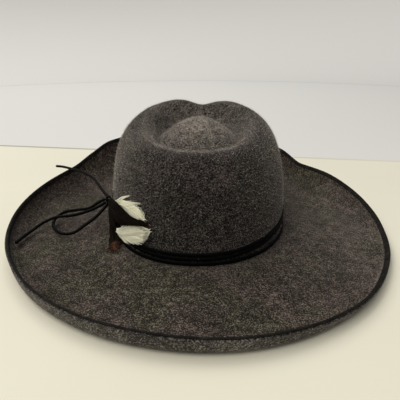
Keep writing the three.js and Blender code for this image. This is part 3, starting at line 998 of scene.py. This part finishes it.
# --- band: three turns of lace ---
BAND = {"wander": 0.12, "rough": 0.05, "square_across": 0.75, "square_up": 0.8}
BAND_FOOT = {"below": 3.4, "over": 2}  # where a low turn lies on the rounded break


def band_lace(turn):
    half_height = LACE["height"] / 2
    half_depth = LACE["thickness"] / 2

    def place(u, v):
        azimuth = 360 * u
        above = round_table(BAND_COLUMNS, BAND_TABLE, turn, azimuth)
        wander = noise.noise(Vector((azimuth * 0.09, above * 0.01, 3)))
        height = BREAK_HEIGHT + above + BAND["wander"] * wander
        low = ease((BREAK_HEIGHT + BAND_FOOT["below"] - height) / BAND_FOOT["over"])
        at_foot = foot_radius(azimuth) + BREAK_RADIUS * low
        radius = max(side_radius(azimuth, height), at_foot) + GAP + half_depth
        angle = 2 * math.pi * v
        across, up = math.cos(angle), math.sin(angle)
        across = math.copysign(abs(across) ** BAND["square_across"], across)
        up = math.copysign(abs(up) ** BAND["square_up"], up)
        rough = 1 + BAND["rough"] * noise.noise(Vector((azimuth * 0.6, v * 4, above)))
        return spot(azimuth, radius + half_depth * across * rough, height + half_height * up * rough)

    made = piece(f"band_turn_{turn}", closed(sheet(420, 14, place)), lace_look)
    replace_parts(made, f"band_lace_{turn}")


for turn in BAND_COLUMNS[1:]:
    band_lace(turn)


# --- knot of the bow ---
def wall_facing(azimuth, height):
    """The azimuth that the crown's side faces there."""
    ahead, behind = (spot(a, side_radius(a, height), 0) for a in (azimuth + 1, azimuth - 1))
    run = ahead - behind
    return math.degrees(math.atan2(-run.x, run.y))


knot_facing = wall_facing(KNOT["azimuth"], KNOT["height"])
knot_out = spot(knot_facing, 1, 0)
knot_side = spot(knot_facing + 90, 1, 0)
knot_centre = spot(KNOT["azimuth"], side_radius(KNOT["azimuth"], KNOT["height"]), KNOT["height"])
knot_centre += knot_out * KNOT["out"]

# Each wrap's middle line from the knot's centre: sideways, outwards and up
KNOT_WRAPS = [
    [(-1.6, -1.6, -3.2), (-2.2, 0.6, -3.4), (-1.4, 2.2, -1.6), (-0.4, 2.7, 0.8),
     (0.8, 1.6, 3.2), (1.6, -0.6, 3.7), (1.3, -1.9, 2.2)],
    [(-4.3, -0.4, 1.6), (-3.2, 1.5, 2.4), (-1.2, 2.3, 1.9), (1.2, 2.2, 0.2),
     (3.2, 1.2, -1.5), (4.2, -0.6, -2.2)],
    [(1.8, -1.5, -3.0), (2.6, 0.7, -2.0), (2.4, 2.0, 0.2), (1.4, 2.2, 2.4),
     (0.1, 1.2, 3.6), (-1.4, -0.8, 3.4)],
    [(-3.8, -0.6, -1.6), (-1.8, 0.4, -0.8), (0.4, 0.6, 0.2), (2.4, 0.4, 1.0), (4.0, -0.6, 1.8)],
]
WRAP = {"radius": 1.3, "flat": 0.85}
knot = bmesh.new()
for wrap in KNOT_WRAPS:
    line = [knot_centre + knot_side * side + knot_out * out + UP * up for side, out, up in wrap]
    join(knot, tube(line, WRAP["radius"], 28, flat=WRAP["flat"]))
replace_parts(piece("knot_of_the_bow", knot, lace_look), "bow_knot")


# --- feathers ---
def feather_line(rows, s):
    azimuth, height, out = along(rows, clamp(s))[:3]
    return spot(azimuth, side_radius(azimuth, height) + out, height)


def feather_frame(rows, t):
    """Middle line, the ways along and across it and out of its face, and the half width."""
    azimuth, _, _, half, turn = along(rows, clamp(t))
    way = (feather_line(rows, t + 0.02) - feather_line(rows, t - 0.02)).normalized()
    lean = math.radians(turn)
    away = spot(azimuth, math.cos(lean), math.sin(lean))
    across = way.cross(away).normalized()
    rounded = math.sqrt(clamp((1.02 - t) / 0.14))
    return feather_line(rows, t), way, across, across.cross(way).normalized(), max(half, 0.8) * rounded


def feather_mesh():
    """An empty bmesh with what the feathers' material reads."""
    made = bmesh.new()
    made.loops.layers.uv.new("UVMap")
    for name in ("tone", "tip"):
        made.verts.layers.float.new(name)
    return made


BARBS = {"clump": 8, "width": 0.85, "slim": 0.7, "past_end": 12}
QUILL = {"radius": 0.36, "flat": 0.8, "raised": 0.28}
FEATHER_THICKNESS = 0.12


def vane(made, rows, side, barbs, rng, start, sweep, ragged, gather=0.4, lift=0.0):
    """One side of a feather: flat barbs that leave the shaft, sweep forwards and end unevenly.
    Those of one clump cling together."""
    tone = made.verts.layers.float["tone"]
    tip = made.verts.layers.float["tip"]
    for k in range(barbs):
        s = lerp(start, 1.0, (k + 0.5) / barbs)
        if k % BARBS["clump"] == 0:
            clump = 1 + rng.uniform(-ragged, ragged)
            middle = lerp(start, 1.0, (k + 0.5 * BARBS["clump"]) / barbs)
            layer = rng.uniform(-0.15, 0.2)
            shade = rng.uniform(0.3, 0.7)
        reach = clump * (1 + rng.uniform(-0.3, 0.3) * ragged)
        own_shade = shade + rng.uniform(-0.2, 0.2)
        drift = rng.uniform(-0.01, 0.01)
        for point in bmesh.ops.create_grid(made, x_segments=1, y_segments=6, size=0.5)["verts"]:
            v = point.co.y + 0.5
            ahead = sweep * v**1.2 + drift * v + (middle - s) * gather * v**2
            spine, way, across, face, half = feather_frame(rows, min(s + ahead, 1.0))
            slim = BARBS["width"] * (1 - BARBS["slim"] * v**1.6)
            beyond = max(s + ahead - 1.0, 0.0) * BARBS["past_end"] * v
            point.co = (spine + across * (side * half * reach * v)
                        + way * (point.co.x * slim + beyond) + face * (layer + lift - 0.5 * v**2))
            point[tone] = own_shade * (1 - 0.2 * v) + 0.12 * v
            point[tip] = clamp(s + ahead)


def web(made, rows, share, drop, start):
    """The closed part of a feather, under its barbs."""
    tone = made.verts.layers.float["tone"]
    tip = made.verts.layers.float["tip"]
    for point in bmesh.ops.create_grid(made, x_segments=30, y_segments=8, size=0.5)["verts"]:
        s, v = lerp(start, 0.97, point.co.x + 0.5), point.co.y * 2
        spine, _, across, face, half = feather_frame(rows, s)
        point.co = spine + across * (half * share * v) - face * (drop + 0.4 * v**2)
        point[tone] = 0.42
        point[tip] = s


def shaft(made, rows, start):
    line = []
    for i in range(25):
        point, _, _, face, _ = feather_frame(rows, lerp(start, 0.97, i / 24))
        line.append(point + face * QUILL["raised"])
    quill = tube(line, QUILL["radius"], 30, 7, QUILL["flat"], lambda u, v: -0.6 * u)
    tone = made.verts.layers.float["tone"]
    for point in join(made, quill):
        point[tone] = 0.15


def feather(name, rows, look, seed, sides, share, barbs=130, drop=0.15, start=0.05):
    """Barbs on both sides, each with its settings, a web of a share of the width, and a shaft."""
    rng = random.Random(seed)
    made = feather_mesh()
    for side, settings in zip((-1, 1), sides):
        vane(made, rows, side, barbs, rng, start, **settings)
    web(made, rows, share, drop, start)
    shaft(made, rows, start * 0.8)
    bmesh.ops.recalc_face_normals(made, faces=made.faces)
    return thickened(piece(name, made, look), FEATHER_THICKNESS)


CREAM = [(0.05, (0.78, 0.75, 0.52)), (0.3, (0.99, 0.965, 0.73)), (0.8, (0.99, 0.98, 0.79))]
UMBER = [(0.1, (0.002, 0.0012, 0.0006)), (0.45, (0.0048, 0.003, 0.0016)),
         (0.85, (0.017, 0.0105, 0.006))]
cream_look = feather_material("cream_feather", CREAM)
umber_look = feather_material("umber_feather", UMBER, ((0.93, 1.0), (0.24, 0.08, 0.05)), 0.06)
hanging_look = feather_material("dark_feather", UMBER, ((0.9, 1.0), (0.085, 0.032, 0.012)), 0.06)

UPPER_SIDES = ({"ragged": 0.3, "sweep": 0.24, "gather": 0.85},
               {"ragged": 0.24, "sweep": 0.2, "gather": 0.7})
LOWER_SIDES = ({"ragged": 0.07, "sweep": 0.2, "gather": 0.3},
               {"ragged": 0.1, "sweep": 0.2, "gather": 0.55})
MIDDLE_SIDES = ({"ragged": 0.07, "sweep": 0.14, "lift": 0.35},) * 2
HANGING_SIDES = ({"ragged": 0.12, "sweep": 0.14},) * 2
spray = feather("white_feather_upper", WHITE_UPPER, cream_look, 3, UPPER_SIDES, 0.6, start=0.2)
feather("white_feather_lower", WHITE_LOWER, cream_look, 5, LOWER_SIDES, 0.86, start=0.3)
feather("dark_feather_middle", DARK_MIDDLE, umber_look, 7, MIDDLE_SIDES, 0.95, drop=-0.2)
feather("dark_feather_hanging", DARK_HANGING, hanging_look, 9, HANGING_SIDES, 0.9, barbs=110)
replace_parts(spray, "feather_spray")

DOWN = {"hairs": 260, "radius": 0.11, "lowest": 6.2, "seed": 31}


def down(name, rows, look):
    """A tuft of soft rust-coloured down at the end of the hanging feather."""
    rng = random.Random(DOWN["seed"])
    made = feather_mesh()
    for _ in range(DOWN["hairs"]):
        root, way, across, face, _ = feather_frame(rows, rng.uniform(0.72, 0.97))
        out = rng.uniform(2.5, 7.5)
        side = rng.uniform(-1.4, 1.4)
        rise = rng.uniform(-0.3, 0.6)
        kink = rng.uniform(-1.2, 1.2)
        points = []
        for i in range(4):
            t = i / 3
            points.append(root + way * (out * t * 0.75) + across * (side * out * t + kink * t * t)
                          + face * (0.5 + rise * out * 0.3 * t - 0.6 * t * t))
        join(made, tube(points, DOWN["radius"], 6, 3, wave=lambda u, v: -0.7 * u))
    for point in made.verts:
        point.co.z = max(point.co.z, DOWN["lowest"])
    piece(name, made, look)


down("rust_down", DARK_HANGING, fibre_material("rust_down", (0.085, 0.032, 0.014)))

# --- table, wall and light, in metres ---
FLOOR_RADIUS = 1.6
# The table's far edge: how far off it is, and how much nearer for each metre to the right
TABLE_EDGE = {"y": 0.29, "slant": 0.1511}
# painted shadow in the gap at the table's far edge: where it starts and ends before the edge, and its
# colour
GAP_SHADOW = {"from": -0.0095, "to": -0.0055, "colour": (0.40, 0.38, 0.33)}
TABLE_COLOURS = ((0.78, 0.75, 0.61), (0.84, 0.81, 0.67))
GROUND_COLOUR = (0.74, 0.73, 0.70)
WALL = {"curve": 0.5, "height": 1.7, "steps": 12, "inward": 0.001, "above": 0.0005}
WALL_COLOUR = (0.68, 0.67, 0.645)
WALL_GLOW = (1.0, 0.98, 0.94)


def stage_material():
    """A cream table top with a painted shadow line along its far edge, and a pale ground beyond it
    that glows more towards the back, painted light in place of the lamps' reach.
    """
    look = Look("pale_table")
    across, forward = look.x_and_y(look.objects)
    past_edge = forward + across * TABLE_EDGE["slant"] - TABLE_EDGE["y"]
    beyond = look.step(past_edge, -0.0015, 0.0015)
    # painted shadow line along the table's far edge, weaker towards the right
    gap_shadow = look.step(past_edge, GAP_SHADOW["from"], GAP_SHADOW["to"]) * (1.0 - beyond)
    gap_shadow = gap_shadow * (1.0 - look.step(across, -0.35, 0.35) * 0.72)
    table = look.mix(look.noise(look.objects, 6, 2.0), *TABLE_COLOURS)
    colour = look.mix(gap_shadow, look.mix(beyond, table, GROUND_COLOUR), GAP_SHADOW["colour"])
    # painted light: the ground beyond the table glows more the farther back it is, making up for the
    # lamps' falloff
    painted_far_light = look.mix(beyond * look.step(forward, 0.3, 1.5), (0.0, 0.0, 0.0), WALL_GLOW)
    return look.finish(base_color=colour, roughness=0.6, specular_ior_level=0.25,
                       emission_color=painted_far_light, emission_strength=0.05)


def stage_piece(name, made, look):
    thing = smooth_object(name, made, look)
    return thing


ground = bmesh.new()
bmesh.ops.create_circle(ground, cap_ends=True, segments=96, radius=FLOOR_RADIUS)
stage_piece("table", ground, stage_material())

# A round pale wall that only the camera sees, so that it takes no light from the hat
bend = bmesh.new()
places = [(FLOOR_RADIUS - WALL["inward"], WALL["above"])]
for k in range(1, WALL["steps"] + 1):
    turn = math.pi / 2 * k / WALL["steps"]
    places.append((FLOOR_RADIUS + WALL["curve"] * math.sin(turn),
                   WALL["curve"] * (1 - math.cos(turn))))
places.append((FLOOR_RADIUS + WALL["curve"], WALL["height"]))
profile = [bend.verts.new((out, 0, up)) for out, up in places]
for a, b in zip(profile, profile[1:]):
    bend.edges.new((a, b))
bmesh.ops.spin(bend, geom=bend.verts[:] + bend.edges[:], cent=(0, 0, 0), axis=(0, 0, 1),
               angle=2 * math.pi, steps=96, use_merge=True)
bmesh.ops.reverse_faces(bend, faces=bend.faces)
wall_look = Look("pale_wall").finish(base_color=(*WALL_COLOUR, 1), roughness=0.9,
                                     emission_color=(*WALL_GLOW, 1), emission_strength=0.06)
around = stage_piece("wall", bend, wall_look)
around.visible_diffuse = around.visible_glossy = around.visible_shadow = False


def lamp(name, place, aim, size, power, colour):
    data = bpy.data.lights.new(name, "AREA")
    data.shape = "RECTANGLE"
    data.size, data.size_y = size
    data.energy = power
    data.color = colour
    thing = linked(bpy.data.objects.new(name, data))
    thing.location = place
    thing.rotation_euler = (Vector(aim) - Vector(place)).to_track_quat("-Z", "Y").to_euler()


lamp("window", (-1.05, 1.2, 2.85), (0, 0, 0.05), (2.8, 2.4), 53, (1.0, 0.985, 0.95))
lamp("ceiling", (-1.1, -1.3, 2.75), (0, 0, 0), (2.4, 2.4), 53, (1.0, 0.97, 0.92))
world = bpy.data.worlds.new("room")
bpy.context.scene.world = world
world.use_nodes = True
room = world.node_tree.nodes["Background"]
room.inputs["Color"].default_value = (0.86, 0.855, 0.85, 1)
room.inputs["Strength"].default_value = 0.33
